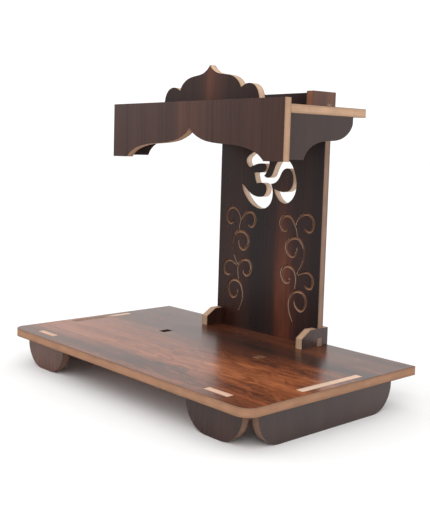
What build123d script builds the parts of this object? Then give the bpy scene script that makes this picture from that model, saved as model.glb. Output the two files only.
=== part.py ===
from build123d import *
from math import pi, sin
import os

# Slot-together tabletop shrine stand cut from one thickness of laminated board.
# mm, +Z up, X left-right (seen from the front), -Y towards the front.
# Origin: centre of the footprint on the surface the stand rests on.

BASE_W = 390.0          # base width
BASE_D = 245.0          # base depth
T = 9.0                 # board thickness, every panel
FOOT_H = 33.0           # clear height under the base
CORNER_R = 14.0         # rounded front corners of the base
PLAY = 0.1              # gap per side in every slot

PANEL_HALF = 80.7       # back panel half width
PANEL_Y = 227.0         # front face of the back panel, from the base front edge
PANEL_TOP = 281.5       # above the base top
NECK_HALF = PANEL_HALF - T

ROOF_HALF = 126.0
ROOF_FRONT = 109.0      # from the base front edge
ROOF_TOP = 262.0        # above the base top
FASCIA_HALF = 134.5
FASCIA_TOP = 267.0
FASCIA_LOW = 206.0
CREST_Y = 127.5
CREST_HALF = 74.5
CREST_PEAK = 307.0

BR_H = 20.0             # base bracket height
BR_FRONT = 201.5        # the brackets end flush with the base's rear edge
BR_SLOT = 9.3           # height of the slot that takes the panel ear
TOPBR_H = 19.5
TOPBR_FRONT = 204.0
TOPBR_REAR = 242.0
EAR_H = 7.0             # ears of the panel above the roof

RAIL_X = 188.0          # outer face of a side rail
RAIL_Y0, RAIL_Y1 = 22.5, 214.0
RAIL_TENON = (79.0, 167.0)
FOOT_X0, FOOT_X1 = 104.0, 177.5
FOOT_Y = 12.0
FOOT_TENON = (127.0, 158.0)
BR_TENON = (209.0, 222.5)
SPARE_SLOT = (132.0, 145.5)
CREST_TENON = 30.0      # half length of the crest tenon

GROOVE_THIN = 1.5       # engraved scroll stroke at its ends
GROOVE_WIDE = 3.5       # and where it swells in the curl
GROOVE_D = 1.3

YC = BASE_D / 2
ZB = FOOT_H + T         # base top above the ground


def Y(y):
    return y - YC


def Z(z):
    return z + ZB


def outline(*segs):
    # closed outline from runs of points: ("L", p, q, ...) straight, ("S", p, q, ...) smooth;
    # each run starts where the last one ended, and the last run is closed with a straight line
    edges, last, first = [], None, segs[0][1]
    for kind, *pts in segs:
        if last is not None:
            pts = [last] + list(pts)
        if kind == "S":
            edges.append(Spline(*[Vector(a, b) for a, b in pts]))
        else:
            for a, b in zip(pts, pts[1:]):
                edges.append(Line(Vector(*a), Vector(*b)))
        last = pts[-1]
    if (Vector(*last) - Vector(*first)).length > 1e-6:
        edges.append(Line(Vector(*last), Vector(*first)))
    return Face(Wire(edges))


def xz(face, y0, t=T):
    # board standing across the stand: local x is X, local y is height above the base top
    pl = Plane(origin=(0, Y(y0 + t), Z(0)), x_dir=(1, 0, 0), z_dir=(0, -1, 0))
    return extrude(pl * face, t, dir=(0, -1, 0))


def yz(face, x0, t=T):
    # board standing front to back: local x is distance from the base front edge
    pl = Plane(origin=(x0, Y(0), Z(0)), x_dir=(0, 1, 0), z_dir=(1, 0, 0))
    return extrude(pl * face, t, dir=(1, 0, 0))


def box(x0, x1, y0, y1, z0, z1):
    return Pos((x0 + x1) / 2, Y((y0 + y1) / 2), Z((z0 + z1) / 2)) * Box(x1 - x0, y1 - y0, z1 - z0)


def rect(a, b, c, d):
    return outline(("L", (a, c), (b, c), (b, d), (a, d)))


def both(solid):
    return [mirror(solid, about=Plane.YZ), solid]


def mirrored(pts):
    return [(-a, b) for a, b in pts]


# ---------------------------------------------------------------- base
base = box(-BASE_W / 2, BASE_W / 2, 0, BASE_D, -T, 0)
front = base.edges().filter_by(Axis.Z).sort_by(Axis.Y)[:2]
base = fillet(front, CORNER_R)
g = PLAY
for s in (-1, 1):
    def hole(xa, xb, ya, yb):
        a, b = sorted((s * xa, s * xb))
        return box(a - g, b + g, ya - g, yb + g, -T - 1, 1)
    base -= hole(RAIL_X - T, RAIL_X, *RAIL_TENON)
    base -= hole(FOOT_TENON[0], FOOT_TENON[1], FOOT_Y, FOOT_Y + T)
    base -= hole(NECK_HALF, PANEL_HALF, *BR_TENON)
    base -= hole(NECK_HALF, PANEL_HALF, *SPARE_SLOT)

# ---------------------------------------------------------------- feet and rails


def d_board(a0, a1, r):
    # D-ended board hanging below the base, with a tenon rising through it
    low = -T - FOOT_H
    k = 0.70710678
    return a0, a1, low, [
        (a0, low + r), (a0 + r - r * k, low + r - r * k), (a0 + r, low),
        (a1 - r, low), (a1 - r + r * k, low + r - r * k), (a1, low + r)]


def hanging(a0, a1, r, tenon):
    a0, a1, low, p = d_board(a0, a1, r)
    edges = [Line(Vector(a0, -T), Vector(*p[0])),
             ThreePointArc(Vector(*p[0]), Vector(*p[1]), Vector(*p[2])),
             Line(Vector(*p[2]), Vector(*p[3])),
             ThreePointArc(Vector(*p[3]), Vector(*p[4]), Vector(*p[5])),
             Line(Vector(*p[5]), Vector(a1, -T)),
             Line(Vector(a1, -T), Vector(tenon[1], -T)),
             Line(Vector(tenon[1], -T), Vector(tenon[1], 0)),
             Line(Vector(tenon[1], 0), Vector(tenon[0], 0)),
             Line(Vector(tenon[0], 0), Vector(tenon[0], -T)),
             Line(Vector(tenon[0], -T), Vector(a0, -T))]
    return Face(Wire(edges))


foot = xz(hanging(FOOT_X0, FOOT_X1, 29.0, FOOT_TENON), FOOT_Y)
rail = yz(hanging(RAIL_Y0, RAIL_Y1, 28.0, RAIL_TENON), RAIL_X - T)

# ---------------------------------------------------------------- base brackets
P0, P1 = PANEL_Y - PLAY, PANEL_Y + T + PLAY
bracket = yz(outline(("L", (BR_FRONT, 0), (BR_FRONT, 11.5), (BR_FRONT + 14, BR_H),
                      (BASE_D, BR_H), (BASE_D, 0),
                      (P1, 0), (P1, BR_SLOT), (P0, BR_SLOT), (P0, 0),
                      (BR_TENON[1], 0), (BR_TENON[1], -T), (BR_TENON[0], -T), (BR_TENON[0], 0))),
             NECK_HALF)

# ---------------------------------------------------------------- back panel
n = NECK_HALF - PLAY
w = PANEL_HALF
RU = ROOF_TOP - T       # underside of the roof
right_edge = [(w, 0), (w, BR_SLOT - PLAY), (n, BR_SLOT - PLAY), (n, BR_H + 0.0), (w, BR_H + 0.0),
              (w, RU), (n, RU), (n, ROOF_TOP), (w, ROOF_TOP), (w, ROOF_TOP + EAR_H),
              (n, ROOF_TOP + EAR_H), (n, PANEL_TOP)]
panel = xz(outline(("L", *(right_edge + mirrored(right_edge)[::-1]))), PANEL_Y)

# pierced sacred syllable: one connected opening, smooth curves only
glyph = outline(
    ("S", (-31.3, 196.4), (-36.0, 199.9), (-37.6, 205.2), (-32.0, 211.3), (-21.8, 215.4),
          (-10.6, 214.9), (-3.1, 210.0), (-0.4, 202.1), (-2.8, 194.0), (-8.0, 187.1)),
    ("S", (-3.3, 184.9), (2.1, 186.1), (5.9, 191.6), (9.2, 199.0), (13.4, 204.4), (20.3, 207.6),
          (27.8, 206.4), (34.1, 201.1), (38.8, 192.8), (41.5, 183.8), (42.0, 176.0),
          (40.2, 168.0), (35.4, 161.0), (26.3, 156.2)),
    ("S", (17.4, 158.9), (11.3, 165.2), (8.2, 172.4)),
    ("S", (15.5, 170.2), (24.8, 169.5), (32.0, 171.9), (36.1, 177.1), (37.3, 184.3),
          (35.9, 190.7), (32.2, 195.4), (25.8, 196.6), (20.5, 193.4), (17.3, 188.1),
          (13.5, 182.6), (8.3, 179.2), (2.9, 178.2)),
    ("S", (5.6, 172.0), (6.2, 165.0), (4.0, 156.9), (-1.8, 150.6), (-10.2, 148.0),
          (-19.8, 149.0), (-29.8, 154.4), (-37.6, 162.2), (-41.8, 168.6), (-43.9, 175.9)),
    ("S", (-39.6, 173.2), (-34.9, 169.4), (-28.6, 165.0), (-21.2, 162.3), (-13.6, 161.8),
          (-7.6, 163.8), (-4.3, 168.4), (-3.9, 173.3), (-6.6, 177.2), (-12.6, 178.6),
          (-19.6, 177.8)),
    ("S", (-22.2, 183.0), (-23.9, 189.7)),
    ("S", (-16.0, 190.6), (-8.8, 191.6), (-4.9, 195.2), (-5.6, 199.6), (-11.9, 201.4),
          (-21.1, 200.2), (-31.3, 196.4)),
)
panel -= xz(glyph, PANEL_Y - 1, T + 2)

# engraved scrolls, one side, each from its curl to its stem; the other side is the mirror image
scrolls = [
    [(31.3, 127.4), (26.1, 125.0), (21.3, 129.1), (20.3, 136.0), (25.3, 141.8), (32.5, 142.4),
     (39.2, 137.5), (43.4, 131.0), (46.0, 123.9), (46.4, 119.6)],
    [(56.4, 132.1), (58.6, 127.9), (64.4, 127.0), (69.0, 133.3), (68.0, 140.9), (62.0, 145.8),
     (54.1, 145.4), (47.6, 140.6), (44.2, 132.6)],
    [(46.2, 107.4), (44.4, 99.6), (40.0, 96.4), (33.4, 99.4), (29.8, 107.0), (32.9, 114.0),
     (40.0, 117.8), (48.6, 117.4), (55.0, 110.6), (57.4, 101.3), (55.4, 91.4), (50.6, 82.6),
     (47.6, 77.4)],
    [(36.4, 71.9), (36.4, 67.4), (31.8, 65.6), (26.4, 69.5), (24.4, 77.3), (28.9, 83.6),
     (36.4, 84.5), (43.6, 80.0), (46.2, 73.5), (46.2, 66.2), (44.6, 59.9)],
    [(59.2, 67.0), (62.8, 63.3), (68.2, 63.9), (71.0, 70.2), (69.6, 76.6), (63.8, 80.6),
     (55.8, 79.6), (49.0, 76.4)],
    [(45.8, 46.9), (48.0, 39.4), (55.2, 36.0), (61.0, 42.2), (62.0, 49.5), (57.6, 56.0),
     (50.6, 57.9), (43.4, 55.5), (38.4, 48.4), (37.0, 39.2), (39.6, 29.2), (43.4, 21.6)],
]


def ribbon(pts):
    # stroke along a smooth curve through the points: thin at both ends and wide a third of the way from the curl
    c = Spline(*[Vector(a, b) for a, b in pts])
    m = 4 * len(pts)
    left, right = [], []
    for i in range(m + 1):
        u = i / m
        p, d = c.position_at(u), c.tangent_at(u)
        swell = sin(pi * u ** 0.66) ** 1.2 if 0 < u < 1 else 0
        k = Vector(-d.Y, d.X) * ((GROOVE_THIN + (GROOVE_WIDE - GROOVE_THIN) * swell) / 2)
        left.append(((p + k).X, (p + k).Y))
        right.append(((p - k).X, (p - k).Y))
    return outline(("S", *left), ("L", right[-1]), ("S", *right[::-1][1:]))


for pts in scrolls:
    for side in (pts, mirrored(pts)):
        panel -= xz(ribbon(side), PANEL_Y - 1, 1 + GROOVE_D)

# ---------------------------------------------------------------- canopy
roof = box(-ROOF_HALF, ROOF_HALF, ROOF_FRONT, PANEL_Y + T, RU, ROOF_TOP)
roof -= box(-NECK_HALF, NECK_HALF, PANEL_Y - PLAY, PANEL_Y + T + 5, RU - 1, ROOF_TOP + 1)
roof -= box(-CREST_TENON - PLAY, CREST_TENON + PLAY, CREST_Y - PLAY, CREST_Y + T + PLAY,
            RU - 1, ROOF_TOP + 1)

half_arch = [(0, 239.0), (5.0, 233.8), (13.0, 229.2), (23.0, 225.6), (35.0, 223.4), (51.0, 222.1),
             (68.0, 221.1), (81.0, 219.3), (90.5, 216.9), (98.5, 213.9), (104.5, 210.2),
             (109.0, FASCIA_LOW)]
fascia = xz(outline(("S", *mirrored(half_arch)[::-1]), ("S", *half_arch[1:]),
                    ("L", (FASCIA_HALF, FASCIA_LOW), (FASCIA_HALF, FASCIA_TOP),
                     (-FASCIA_HALF, FASCIA_TOP), (-FASCIA_HALF, FASCIA_LOW))),
            ROOF_FRONT - T)

side_bracket = yz(outline(
    ("L", (ROOF_FRONT, 208.0), (139.3, 208.0)),
    ("S", (142.7, 214.4), (148.4, 219.7), (155.8, 223.5), (163.4, 225.7), (172.0, 226.9),
          (184.0, 227.6)),
    ("S", (193.0, 228.8), (200.5, 231.2), (207.0, 235.0), (212.0, 239.8), (215.0, 246.0)),
    ("L", (215.0, RU), (ROOF_FRONT, RU))), ROOF_HALF - T)

lobes = [(9.0, 299.2), (16.0, 297.2), (24.0, 296.2), (32.0, 294.7), (39.0, 291.8), (44.6, 287.2),
         (48.2, 281.2)]
ears = [(52.4, 283.6), (57.0, 285.1), (62.0, 285.0), (67.0, 283.1), (71.0, 279.2), (73.6, 273.8),
        (CREST_HALF, ROOF_TOP + 3)]
tip = [(0, CREST_PEAK), (2.0, 304.2), (5.0, 301.6), (9.0, 299.2)]
right = [("S", *tip), ("S", *lobes[1:]), ("S", *ears), ("L", (CREST_HALF, ROOF_TOP)),
         ("L", (CREST_TENON, ROOF_TOP), (CREST_TENON, RU), (-CREST_TENON, RU),
          (-CREST_TENON, ROOF_TOP), (-CREST_HALF, ROOF_TOP), (-CREST_HALF, ROOF_TOP + 3)),
         ("S", *mirrored(ears)[::-1][1:], (-48.2, 281.2)),
         ("S", *mirrored(lobes)[::-1][1:]),
         ("S", *mirrored(tip)[::-1][1:])]
crest = xz(outline(*right), CREST_Y)

top_bracket = yz(outline(("L", (TOPBR_FRONT, ROOF_TOP), (TOPBR_FRONT, ROOF_TOP + TOPBR_H),
                          (TOPBR_REAR, ROOF_TOP + TOPBR_H), (TOPBR_REAR, ROOF_TOP),
                          (P1, ROOF_TOP), (P1, ROOF_TOP + EAR_H + PLAY),
                          (P0, ROOF_TOP + EAR_H + PLAY), (P0, ROOF_TOP))), NECK_HALF)

parts = {
    "base_board": base,
    "back_panel": panel,
    "roof_board": roof,
    "fascia": fascia,
    "crest": crest,
}
for name, solid in (("front_foot", foot), ("side_rail", rail), ("base_bracket", bracket),
                    ("canopy_bracket", side_bracket), ("top_bracket", top_bracket)):
    parts[name + "_left"], parts[name + "_right"] = both(solid)

os.makedirs("parts", exist_ok=True)
for name, solid in parts.items():
    export_step(solid, f"parts/{name}.step")
    b = solid.bounding_box()
    print(name, [round(v, 1) for v in (*b.min, *b.max)], round(solid.volume), len(solid.solids()))
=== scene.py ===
import math

import bpy
from mathutils import Matrix, Vector


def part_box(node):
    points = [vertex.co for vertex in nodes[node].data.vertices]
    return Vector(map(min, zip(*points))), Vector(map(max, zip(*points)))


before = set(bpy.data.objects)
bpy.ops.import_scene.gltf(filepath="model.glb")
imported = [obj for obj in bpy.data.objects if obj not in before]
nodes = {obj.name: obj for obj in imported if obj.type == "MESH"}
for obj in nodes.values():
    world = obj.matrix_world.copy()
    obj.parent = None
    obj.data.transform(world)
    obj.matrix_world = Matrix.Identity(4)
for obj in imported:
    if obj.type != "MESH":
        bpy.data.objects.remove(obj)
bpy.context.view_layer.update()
scene = bpy.context.scene

# ------------------------------------------------------------------ small node helpers


class Tree:
    def __init__(self, name):
        self.mat = bpy.data.materials.new(name)
        self.mat.use_nodes = True
        self.t = self.mat.node_tree
        self.t.nodes.clear()
        self.out = self.t.nodes.new("ShaderNodeOutputMaterial")

    def new(self, kind, **props):
        n = self.t.nodes.new(kind)
        for k, v in props.items():
            setattr(n, k, v)
        return n

    def link(self, a, b):
        self.t.links.new(a, b)

    def put(self, socket, value):
        if hasattr(value, "is_linked") or isinstance(value, bpy.types.NodeSocket):
            self.link(value, socket)
        else:
            socket.default_value = value

    def math(self, op, a, b=None, c=None, clamp=False):
        n = self.new("ShaderNodeMath", operation=op, use_clamp=clamp)
        self.put(n.inputs[0], a)
        if b is not None:
            self.put(n.inputs[1], b)
        if c is not None:
            self.put(n.inputs[2], c)
        return n.outputs[0]

    def mix(self, fac, a, b, mode="MIX"):
        n = self.new("ShaderNodeMix", data_type="RGBA", blend_type=mode)
        self.put(n.inputs[0], fac)
        self.put(n.inputs[6], a)
        self.put(n.inputs[7], b)
        return n.outputs[2]

    def lerp(self, fac, a, b):
        n = self.new("ShaderNodeMix", data_type="FLOAT")
        self.put(n.inputs[0], fac)
        self.put(n.inputs[2], a)
        self.put(n.inputs[3], b)
        return n.outputs[0]

    def step(self, value, lo, hi, a=0.0, b=1.0):
        n = self.new("ShaderNodeMapRange", interpolation_type="SMOOTHSTEP")
        self.put(n.inputs[0], value)
        n.inputs[1].default_value = lo
        n.inputs[2].default_value = hi
        n.inputs[3].default_value = a
        n.inputs[4].default_value = b
        return n.outputs[0]

    def noise(self, vec, scale, detail=4.0, rough=0.55, distort=0.0):
        n = self.new("ShaderNodeTexNoise", noise_dimensions="3D")
        self.link(vec, n.inputs["Vector"])
        n.inputs["Scale"].default_value = scale
        n.inputs["Detail"].default_value = detail
        n.inputs["Roughness"].default_value = rough
        n.inputs["Distortion"].default_value = distort
        return n.outputs["Fac"]

    def vec(self, x, y, z):
        n = self.new("ShaderNodeCombineXYZ")
        self.put(n.inputs[0], x)
        self.put(n.inputs[1], y)
        self.put(n.inputs[2], z)
        return n.outputs[0]

    def ramp(self, fac, stops, interp="EASE"):
        n = self.new("ShaderNodeValToRGB")
        n.color_ramp.interpolation = interp
        e = n.color_ramp.elements
        e[0].position, e[0].color = stops[0][0], (*stops[0][1], 1)
        e[1].position, e[1].color = stops[-1][0], (*stops[-1][1], 1)
        for p, c in stops[1:-1]:
            k = e.new(p)
            k.color = (*c, 1)
        self.link(fac, n.inputs[0])
        return n.outputs[0]


def lin(r, g, b):
    def f(v):
        v /= 255.0
        return v / 12.92 if v <= 0.04045 else ((v + 0.055) / 1.055) ** 2.4
    return (f(r), f(g), f(b))


# ------------------------------------------------------------------ printed walnut laminate on fibre board
# Every node is one flat board: "thin" is the axis across its thickness. The two faces on that axis carry the
# glossy printed laminate, and every other surface is cut board. "along" is the axis the grain runs along.

DARK = [(0.0, lin(26, 16, 16)), (0.22, lin(36, 22, 20)), (0.42, lin(52, 32, 27)), (0.60, lin(70, 42, 34)),
        (0.78, lin(92, 54, 41)), (1.0, lin(124, 76, 55))]
PANEL_RAMP = [(0.0, lin(24, 14, 15)), (0.30, lin(34, 20, 19)), (0.55, lin(52, 28, 22)), (0.75, lin(78, 38, 25)),
              (1.0, lin(108, 56, 36))]
WARM = [(0.0, lin(38, 27, 25)), (0.20, lin(60, 38, 30)), (0.42, lin(94, 52, 34)), (0.62, lin(136, 76, 46)),
        (0.82, lin(164, 97, 60)), (1.0, lin(190, 124, 84))]
LOCK = [(0.0, lin(48, 31, 27)), (0.5, lin(94, 60, 46)), (1.0, lin(142, 92, 66))]
TAN = lin(186, 150, 122)


def board(name, node, thin, along, stops, seed=0.0, plan=None, amount=0.6, band=26.0, gloss=0.22, spec=0.5,
          curl=0.0, curl_from=(-1.0, -0.9), fine_w=0.16, broad_w=0.42, vein=0.18, patch=1.3, fade=None, edge_tint=TAN, up_end_lit_tint=None,
          end_recess_shade=None, inner_lit_tint=None, slot_shade_tint=None):
    lo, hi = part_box(node)
    t = Tree(name)
    tc = t.new("ShaderNodeTexCoord")
    obj = tc.outputs["Object"]
    sep = t.new("ShaderNodeSeparateXYZ")
    t.link(obj, sep.inputs[0])
    ax = {"X": sep.outputs[0], "Y": sep.outputs[1], "Z": sep.outputs[2]}
    i = "XYZ".index(thin)
    across = next(a for a in "XYZ" if a not in (thin, along))
    g, c, th = ax[along], ax[across], ax[thin]

    # which surface this is
    geo = t.new("ShaderNodeNewGeometry")
    nsep = t.new("ShaderNodeSeparateXYZ")
    tn = t.new("ShaderNodeVectorTransform", vector_type="NORMAL", convert_from="WORLD", convert_to="OBJECT")
    t.link(geo.outputs["True Normal"], tn.inputs[0])
    t.link(tn.outputs[0], nsep.inputs[0])
    is_face = t.math("GREATER_THAN", t.math("ABSOLUTE", nsep.outputs[i]), 0.7)
    d_lo = t.math("SUBTRACT", th, float(lo[i]))
    d_hi = t.math("SUBTRACT", float(hi[i]), th)
    depth = t.math("MINIMUM", d_lo, d_hi)               # distance in from the nearer laminate face
    deep = t.step(depth, 0.00015, 0.0004)               # 1 below the laminate, as in a groove
    film = t.math("LESS_THAN", depth, 0.00030)          # the laminate film seen edge-on
    laminate = t.math("MULTIPLY", is_face, t.math("SUBTRACT", 1.0, deep))

    # printed grain: soft bands across the grain, long streaks, and a curly cross figure where asked for
    s = seed
    wob = t.noise(t.vec(t.math("MULTIPLY_ADD", g, 6.0, s), t.math("MULTIPLY", c, 14.0), th), 1.0, 2.0)
    cc = t.math("ADD", c, t.math("MULTIPLY", t.math("SUBTRACT", wob, 0.5), 0.014))
    vb = t.vec(t.math("MULTIPLY_ADD", g, patch, s), t.math("MULTIPLY", cc, 1000.0 / band), s + 0.7)
    broad = t.noise(vb, 1.0, 2.0, 0.45, 0.2)
    vs = t.vec(t.math("MULTIPLY_ADD", g, 5.0, s), t.math("MULTIPLY", cc, 240.0), s + 3.1)
    fine = t.noise(vs, 1.0, 4.0, 0.55, 0.1)
    vf = t.vec(t.math("MULTIPLY_ADD", g, 34.0, s), t.math("MULTIPLY", cc, 1300.0), s + 5.3)
    fleck = t.noise(vf, 1.0, 3.0, 0.6)
    value = t.math("MULTIPLY_ADD", t.math("SUBTRACT", broad, 0.5), broad_w * 2.0, 0.5)
    value = t.math("MULTIPLY_ADD", t.math("SUBTRACT", fine, 0.5), fine_w * 2.0, value)
    vv = t.vec(t.math("MULTIPLY_ADD", g, 3.2, s + 4.0), t.math("MULTIPLY", cc, 330.0), s + 2.0)
    dark_line = t.step(t.noise(vv, 1.0, 3.0, 0.55, 0.15), 0.26, 0.44, -1.0, 0.0)
    value = t.math("MULTIPLY_ADD", dark_line, vein, value)
    shade = None
    if plan:
        # where the print is dark or warm on this board, read along the axis across the grain
        pos = t.new("ShaderNodeMapRange")
        t.link(cc, pos.inputs[0])
        ic = "XYZ".index(across)
        pos.inputs[1].default_value = float(lo[ic])
        pos.inputs[2].default_value = float(hi[ic])
        shade = t.ramp(pos.outputs[0], [(p, (v, v, v)) for p, v in plan], "B_SPLINE")
        lift = t.math("SUBTRACT", shade, 0.5)
        if fade:
            # the warm bands die out along the grain; the dark ones carry on
            keep = t.math("MULTIPLY", t.step(g, fade[0], fade[1], 1.0, fade[2]),
                          t.step(t.noise(t.vec(t.math("MULTIPLY_ADD", g, 9.0, s), t.math("MULTIPLY", c, 30.0), s), 1.0, 2.0),
                                 0.3, 0.65, 0.65, 1.15))
            lift = t.lerp(t.math("GREATER_THAN", lift, -0.16), lift,
                          t.math("MULTIPLY_ADD", t.math("ADD", lift, 0.16), keep, -0.16))
        value = t.math("MULTIPLY_ADD", lift, amount, value)
    if curl:
        # curly figure: short ripples lying a little across the grain, in drifting patches of the warm print
        vc = t.vec(t.math("MULTIPLY_ADD", g, 40.0, s), t.math("MULTIPLY_ADD", g, 9.0, t.math("MULTIPLY", c, 115.0)), s + 8.0)
        cur = t.step(t.noise(vc, 1.0, 3.0, 0.58, 1.0), 0.30, 0.70)
        where = t.noise(t.vec(t.math("MULTIPLY_ADD", g, 6.0, s + 1.0), t.math("MULTIPLY", c, 16.0), s), 1.0, 2.0)
        cw = t.math("MULTIPLY", t.step(where, 0.30, 0.56, 0.45, 1.0), t.step(g, curl_from[0], curl_from[1], 0.22, 1.0))
        if shade is not None:
            cw = t.math("MULTIPLY", cw, t.step(shade, 0.30, 0.75, 0.30, 1.0))
        value = t.math("ADD", value, t.math("MULTIPLY", cw, t.math("MULTIPLY_ADD", cur, curl, -0.55 * curl)))
    value = t.math("ADD", value, 0.0, clamp=True)
    wood = t.ramp(value, stops, "LINEAR")
    pore = t.step(fleck, 0.30, 0.46, 0.80, 1.0)
    wood = t.mix(1.0, wood, t.vec(pore, pore, pore), "MULTIPLY")

    # cut fibre board: fine felted grain, darker where the cutter scorched it, thin dark film at both faces, and
    # painted shade and light tints further down
    felt = t.noise(obj, 1900.0, 3.0, 0.7)
    cloud = t.noise(obj, 60.0, 3.0)
    layer = t.noise(t.vec(t.math("MULTIPLY", g, 60.0), t.math("MULTIPLY", c, 60.0),
                          t.math("MULTIPLY", th, 2600.0)), 1.0, 2.0)
    mott = t.math("ADD", t.math("MULTIPLY", felt, 0.45), t.math("MULTIPLY", layer, 0.55))
    tone = t.step(mott, 0.25, 0.75, 0.80, 1.16)
    tint = (*edge_tint, 1)
    # painted light: cut ends that face up get their own paler tint, as lit from above
    if up_end_lit_tint:
        up_end_lit_mask = t.math("GREATER_THAN", nsep.outputs[2], 0.7)
        end = (*up_end_lit_tint, 1)
        # painted shade: part of such an end, recessed below the deck, gets a darker colour
        if end_recess_shade:
            end = t.mix(t.step(c, end_recess_shade[0], end_recess_shade[1]), (*end_recess_shade[2], 1), end)
        tint = t.mix(up_end_lit_mask, tint, end)
    # painted light: the cut-out walls near the panel's middle get a pale cream tint, as if lit from above and behind
    if inner_lit_tint:
        inner_lit_mask = t.math("MULTIPLY", t.math("LESS_THAN", t.math("ABSOLUTE", c), 0.055),
                       t.math("LESS_THAN", g, float(hi["XYZ".index(along)]) - 0.03))
        tint = t.mix(inner_lit_mask, tint, (*inner_lit_tint, 1))
    if slot_shade_tint:
        # the walls of the open slot nearest the left end are painted dark: painted shade inside the slot
        slot_shade_mask = t.math("MULTIPLY", t.math("LESS_THAN", t.math("ABSOLUTE", t.math("ADD", g, 0.076)), 0.008),
                      t.math("LESS_THAN", t.math("ABSOLUTE", c), 0.035))
        tint = t.mix(slot_shade_mask, tint, (*slot_shade_tint, 1))
    skin = t.step(depth, 0.0010, 0.0030, 0.84, 1.0)
    shade2 = t.math("MULTIPLY", t.math("MULTIPLY", skin, tone), t.step(cloud, 0.3, 0.7, 0.90, 1.06))
    edge = t.mix(1.0, t.vec(shade2, shade2, shade2), tint, "MULTIPLY")
    rub = t.math("MULTIPLY", film, t.step(cloud, 0.34, 0.62, 0.45, 0.95))
    edge = t.mix(rub, edge, (*lin(52, 34, 28), 1))
    # the carved strokes are rounded hollows: their floors turn towards the nearer wall, and their colour is painted
    # light
    # and shade: tan where a floor faces up and left, dark where it faces away, with a little random mottle
    hollow = t.new("ShaderNodeBevel", samples=8)
    hollow.inputs["Radius"].default_value = 0.0019
    hsep = t.new("ShaderNodeVectorMath", operation="DOT_PRODUCT")
    hn = t.new("ShaderNodeVectorTransform", vector_type="NORMAL", convert_from="WORLD", convert_to="OBJECT")
    t.link(hollow.outputs[0], hn.inputs[0])
    t.link(hn.outputs[0], hsep.inputs[0])
    hsep.inputs[1].default_value = (-0.75, 0.0, 0.66)
    groove_lit_shade_fac = t.math("MULTIPLY_ADD", cloud, 0.25, t.math("SUBTRACT", hsep.outputs["Value"], 0.125))
    groove = t.ramp(t.math("MULTIPLY_ADD", groove_lit_shade_fac, 0.5, 0.5),
                    [(0.28, lin(46, 29, 23)), (0.42, lin(92, 62, 47)), (0.52, lin(132, 94, 71)), (0.68, lin(172, 130, 102))],
                    "LINEAR")
    cut = t.mix(is_face, edge, groove)

    # worn corners: the laminate is rubbed pale in places right at the board's edges
    bev = t.new("ShaderNodeBevel", samples=4)
    bev.inputs["Radius"].default_value = 0.0006
    dot = t.new("ShaderNodeVectorMath", operation="DOT_PRODUCT")
    t.link(bev.outputs[0], dot.inputs[0])
    t.link(geo.outputs["True Normal"], dot.inputs[1])
    corner = t.step(dot.outputs["Value"], 0.93, 0.999, 1.0, 0.0)
    chip = t.math("MULTIPLY", corner, t.step(t.noise(obj, 310.0, 4.0, 0.7), 0.52, 0.66))
    wood = t.mix(t.math("MULTIPLY", chip, 0.6), wood, (*lin(138, 104, 82), 1))
    colour = t.mix(laminate, cut, wood)

    # gloss: a clear printed film with faint smears and dust, dull board on the cuts
    smear = t.noise(obj, 22.0, 4.0, 0.6, 0.6)
    rl = t.math("MULTIPLY_ADD", smear, 0.10, gloss - 0.05)
    rl = t.math("MULTIPLY_ADD", fine, 0.05, rl)
    rough = t.lerp(laminate, t.math("MULTIPLY_ADD", felt, 0.12, 0.70), rl)
    peel = t.noise(obj, 260.0, 2.0)
    hl = t.math("MULTIPLY_ADD", pore, 0.25, t.math("MULTIPLY", peel, 0.18))
    height = t.lerp(laminate, felt, hl)
    carved = t.math("MULTIPLY", is_face, deep)
    nrm = t.new("ShaderNodeMix", data_type="VECTOR")
    t.link(carved, nrm.inputs[0])
    t.link(bev.outputs[0], nrm.inputs[4])
    t.link(hollow.outputs[0], nrm.inputs[5])
    bump = t.new("ShaderNodeBump")
    bump.inputs["Strength"].default_value = 0.2
    bump.inputs["Distance"].default_value = 0.00012
    t.link(height, bump.inputs["Height"])
    t.link(nrm.outputs[1], bump.inputs["Normal"])

    p = t.new("ShaderNodeBsdfPrincipled")
    t.link(colour, p.inputs["Base Color"])
    t.link(rough, p.inputs["Roughness"])
    t.link(bump.outputs[0], p.inputs["Normal"])
    p.inputs["IOR"].default_value = 1.5
    p.inputs["Specular IOR Level"].default_value = spec
    t.link(p.outputs[0], t.out.inputs["Surface"])
    return t.mat


def dress(node, mat):
    o = nodes[node]
    o.data.materials.clear()
    o.data.materials.append(mat)


DECK = [(0.0, 0.40), (0.06, 0.44), (0.12, 0.50), (0.22, 0.78), (0.36, 0.84), (0.47, 0.66), (0.56, 0.44),
        (0.66, 0.16), (0.75, 0.22), (0.84, 0.32), (0.92, 0.18), (1.0, 0.22)]
PANEL = [(0.0, 0.36), (0.08, 0.52), (0.18, 0.44), (0.27, 0.60), (0.35, 0.24), (0.46, 0.14), (0.54, 0.30),
         (0.60, 0.84), (0.70, 0.90), (0.78, 0.62), (0.86, 0.38), (0.93, 0.36), (1.0, 0.26)]
FASCIA = [(0.0, 0.44), (0.14, 0.50), (0.30, 0.46), (0.42, 0.58), (0.46, 0.80), (0.49, 0.58), (0.53, 0.84),
          (0.58, 0.60), (0.64, 0.56), (0.80, 0.50), (1.0, 0.40)]
CREST = [(0.0, 0.22), (0.30, 0.26), (0.43, 0.40), (0.50, 0.95), (0.57, 0.70), (0.70, 0.30), (1.0, 0.20)]
# pale tint for the rails' up-facing ends: painted light
PALE_LIT_END = lin(221, 188, 164)
FOOT_EDGE = lin(122, 93, 77)

# deck: the walls of its left slot get a dark tint, painted shade
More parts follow.
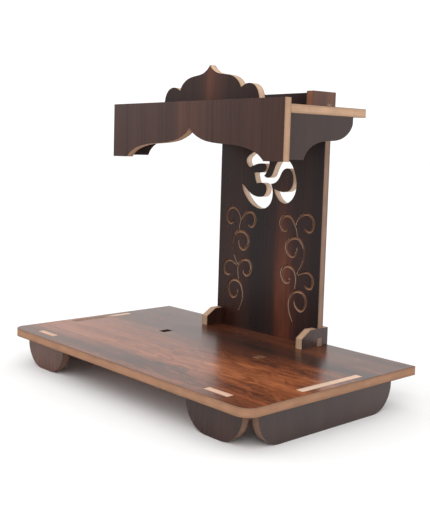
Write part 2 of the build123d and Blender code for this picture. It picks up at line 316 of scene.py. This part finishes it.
dress("base_board", board("deck_laminate", "base_board", "Z", "X", WARM, 1.3, DECK, 0.56, 30.0, 0.23, 0.20,
                          curl=0.42, curl_from=(-0.08, 0.05), fine_w=0.17, broad_w=0.36, vein=0.13, patch=4.2,
                          edge_tint=lin(158, 118, 92), slot_shade_tint=lin(74, 54, 46)))
dress("roof_board", board("roof_laminate", "roof_board", "Z", "X", WARM, 4.1, None, 0.6, 30.0, 0.18, 0.24,
                          curl=0.25, fine_w=0.2, broad_w=0.35))
# panel: its cut-edge tint is painted darker as shade under the roof, and its inner cut walls get a painted-light cream
# tint
dress("back_panel", board("panel_laminate", "back_panel", "Y", "Z", PANEL_RAMP, 2.2, PANEL, 0.90, 22.0, 0.26, 0.18,
                          broad_w=0.20, fine_w=0.18, vein=0.16, fade=(0.12, 0.25, 0.30), edge_tint=lin(143, 116, 100), inner_lit_tint=lin(226, 202, 180)))
dress("fascia", board("valance_laminate", "fascia", "Y", "Z", DARK, 6.4, FASCIA, 0.60, 26.0, 0.26, 0.18,
                      broad_w=0.15, fine_w=0.14, edge_tint=lin(177, 142, 115)))
dress("crest", board("crest_laminate", "crest", "Y", "Z", DARK, 9.5, CREST, 0.70, 24.0, 0.28, 0.12,
                     broad_w=0.10, fine_w=0.12, edge_tint=lin(204, 172, 146)))
for k, side in enumerate(("left", "right")):
    left = side == "left"
    # the feet, rails and base brackets get paler painted-light tints on their up-facing ends; part of the left rail's
    # end is painted darker as shade in its recess
    dress("front_foot_" + side, board("foot_laminate_" + side, "front_foot_" + side, "Y", "Z", DARK, 12.0 + k,
                                      [(0, 0.85), (0.5, 0.95), (1, 0.75)] if left else [(0, 0.3), (0.5, 0.35), (1, 0.3)],
                                      0.6, 24.0, 0.24, 0.35, broad_w=0.2, edge_tint=FOOT_EDGE, up_end_lit_tint=lin(221, 180, 156)))
    dress("side_rail_" + side, board("rail_laminate_" + side, "side_rail_" + side, "X", "Z", DARK, 15.0 + k,
                                     [(0, 0.34), (0.5, 0.40), (1, 0.34)], 0.6, 26.0, 0.24, 0.5, broad_w=0.14,
                                     fine_w=0.1, edge_tint=FOOT_EDGE, up_end_lit_tint=PALE_LIT_END,
                                     end_recess_shade=(0.0, 0.025, lin(140, 108, 88)) if left else None))
    dress("base_bracket_" + side, board("gusset_laminate_" + side, "base_bracket_" + side, "X", "Z", DARK, 18.0 + k,
                                        None, 0.6, 22.0, 0.24, 0.5, broad_w=0.2, up_end_lit_tint=lin(190, 152, 124)))
    dress("canopy_bracket_" + side, board("canopy_laminate_" + side, "canopy_bracket_" + side, "X", "Z", DARK,
                                          21.0 + k, [(0, 0.26), (0.5, 0.32), (1, 0.26)], 0.6, 24.0, 0.26, 0.4,
                                          broad_w=0.12, fine_w=0.1))
    dress("top_bracket_" + side, board("lock_laminate_" + side, "top_bracket_" + side, "X", "Z", LOCK, 24.0 + k,
                                       None, 0.6, 20.0, 0.24, 0.35, broad_w=0.25, edge_tint=lin(140, 94, 68)))

# ------------------------------------------------------------------ floor
bpy.ops.mesh.primitive_plane_add(size=60, location=(0, 0, 0))
floor = bpy.context.object
floor.name = "studio_floor"
ft = Tree("pale_floor")
fp = ft.new("ShaderNodeBsdfPrincipled")
ftc = ft.new("ShaderNodeTexCoord")
fn = ft.noise(ftc.outputs["Object"], 3.0, 3.0)
ft.link(ft.ramp(fn, [(0.3, (0.93, 0.93, 0.93)), (0.7, (0.95, 0.95, 0.95))]), fp.inputs["Base Color"])
fp.inputs["Roughness"].default_value = 0.8
fp.inputs["Specular IOR Level"].default_value = 0.2
ft.link(fp.outputs[0], ft.out.inputs["Surface"])
floor.data.materials.append(ft.mat)

# ------------------------------------------------------------------ light
world = bpy.data.worlds.new("studio")
world.use_nodes = True
bg = world.node_tree.nodes["Background"]
bg.inputs[0].default_value = (1, 1, 1, 1)
bg.inputs[1].default_value = 1.1
scene.world = world


def area(name, loc, aim, size, watts, shape="SQUARE"):
    d = bpy.data.lights.new(name, "AREA")
    d.shape, d.size, d.energy = shape, size, watts
    o = bpy.data.objects.new(name, d)
    o.location = loc
    o.rotation_mode = "QUATERNION"
    o.rotation_quaternion = (Vector(aim) - Vector(loc)).to_track_quat("-Z", "Y")
    scene.collection.objects.link(o)
    return o


area("key", (1.3, -1.2, 1.5), (0, 0, 0.15), 1.1, 9.0)
area("fill", (-1.5, -0.9, 0.9), (0, 0, 0.15), 1.2, 4.0)

# ------------------------------------------------------------------ camera
W = 0.390
F_PX, PX, PY = 827.713, 164.560, 227.525
YAW, PITCH, ROLL = math.radians(49.945), math.radians(5.398), math.radians(1.331)
EYE = (1.703 * W, -1.255 * W - 0.1225, 0.552 * W + 0.042)
fwd = Vector((-math.sin(YAW) * math.cos(PITCH), math.cos(YAW) * math.cos(PITCH), -math.sin(PITCH)))
right = Vector((math.cos(YAW), math.sin(YAW), 0))
up = right.cross(fwd)
r2 = math.cos(ROLL) * right + math.sin(ROLL) * up
u2 = -math.sin(ROLL) * right + math.cos(ROLL) * up
cam = bpy.data.cameras.new("camera")
cam.sensor_width = 36.0
cam.sensor_fit = "AUTO"
cam.lens = F_PX * 36.0 / 530.0
cam.shift_x = (215.0 - PX) / 530.0
cam.shift_y = (PY - 265.0) / 530.0
cam.clip_start, cam.clip_end = 0.02, 100
co = bpy.data.objects.new("camera", cam)
m = Matrix.Identity(4)
for i in range(3):
    m[i][0], m[i][1], m[i][2], m[i][3] = r2[i], u2[i], -fwd[i], EYE[i]
co.matrix_world = m
scene.collection.objects.link(co)
scene.camera = co
scene.view_settings.view_transform = "Standard"
scene.view_settings.look = "None"
scene.view_settings.exposure = 0.0
